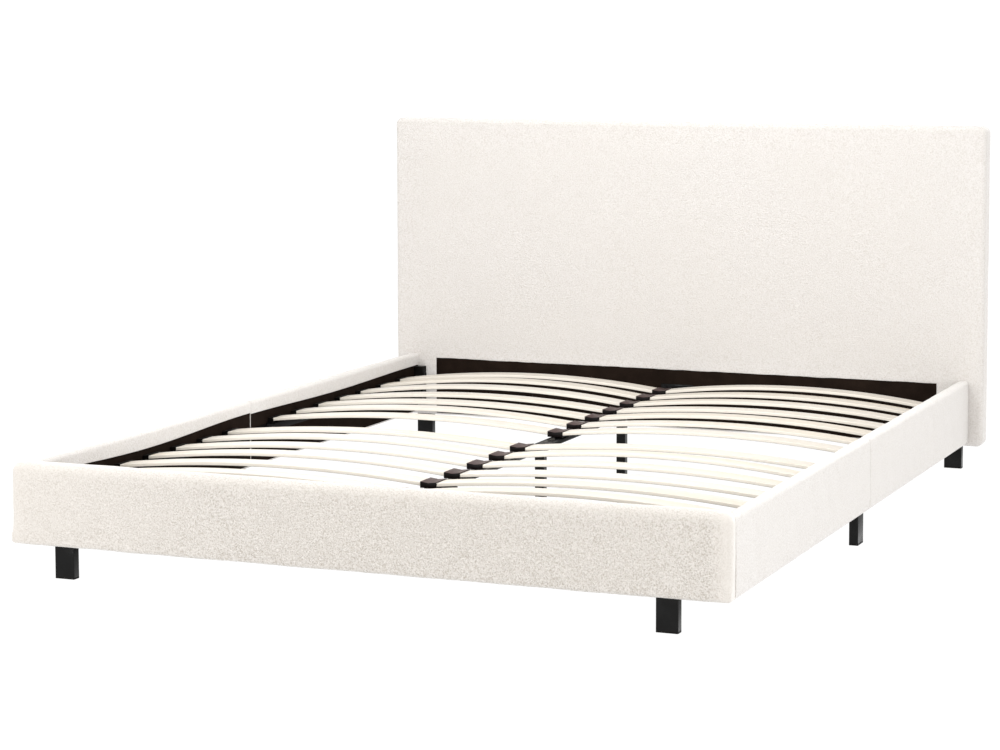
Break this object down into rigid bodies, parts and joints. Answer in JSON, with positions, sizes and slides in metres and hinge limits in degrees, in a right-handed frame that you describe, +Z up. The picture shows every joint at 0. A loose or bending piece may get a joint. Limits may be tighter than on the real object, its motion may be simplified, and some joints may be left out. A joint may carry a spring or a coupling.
{
  "type": "upholstered headboard bed",
  "caption": "Low double bed with a flat upholstered headboard, padded side rails and footboard, arched wooden slats on a centre beam, and black metal legs.",
  "frame": {"origin": "on the floor, below the middle of the bed's overall length and width", "axes": "+Y towards the headboard along the bed, +X towards the bed's right side as seen from the foot, +Z up"},
  "size_m": [1.75, 2.14, 0.933],
  "materials": {
    "white_fabric": "off-white woven fabric with a fine looped grain over thin foam",
    "black_lining": "black spun non-woven cloth, matt",
    "board": "raw chipboard, hidden",
    "pine": "sawn pine battens, hidden",
    "birch": "pale birch plywood, thinly lacquered",
    "brown_plastic": "dark brown moulded plastic, satin",
    "black_plastic": "black plastic, satin",
    "black_steel": "black powder-coated steel, semi-gloss"
  },
  "bodies": {
    "root": {"headboard_panel": "board", "headboard_cross_battens": "pine", "headboard_uprights": "pine", "headboard_upholstery": "white_fabric", "headboard_lining": "black_lining", "headboard_back_cloth": "black_lining", "footboard_board": "board", "footboard_upholstery": "white_fabric", "footboard_lining": "black_lining", "rail_board_left_front": "board", "rail_board_left_rear": "board", "rail_board_right_front": "board", "rail_board_right_rear": "board", "rail_upholstery_left_front": "white_fabric", "rail_upholstery_left_rear": "white_fabric", "rail_upholstery_right_front": "white_fabric", "rail_upholstery_right_rear": "white_fabric", "rail_linings": "black_lining", "slat_ledges": "black_steel", "rail_joint_plates": "black_steel", "corner_blocks": "black_plastic", "frame_bolts": "black_steel", "centre_beam_front": "black_steel", "centre_beam_rear": "black_steel", "beam_joiner": "black_steel", "beam_hangers": "black_steel", "centre_slat_caps": "brown_plastic", "side_slat_caps": "black_plastic", "corner_legs": "black_steel", "middle_legs": "black_steel", "centre_legs": "black_steel", "leg_glides": "black_plastic", "slat_left_01": "birch", "slat_left_02": "birch", "slat_left_03": "birch", "slat_left_04": "birch", "slat_left_05": "birch", "slat_left_06": "birch", "slat_left_07": "birch", "slat_left_08": "birch", "slat_left_09": "birch", "slat_left_10": "birch", "slat_left_11": "birch", "slat_left_12": "birch", "slat_left_13": "birch", "slat_left_14": "birch", "slat_right_01": "birch", "slat_right_02": "birch", "slat_right_03": "birch", "slat_right_04": "birch", "slat_right_05": "birch", "slat_right_06": "birch", "slat_right_07": "birch", "slat_right_08": "birch", "slat_right_09": "birch", "slat_right_10": "birch", "slat_right_11": "birch", "slat_right_12": "birch", "slat_right_13": "birch", "slat_right_14": "birch"}
  },
  "joints": []
}
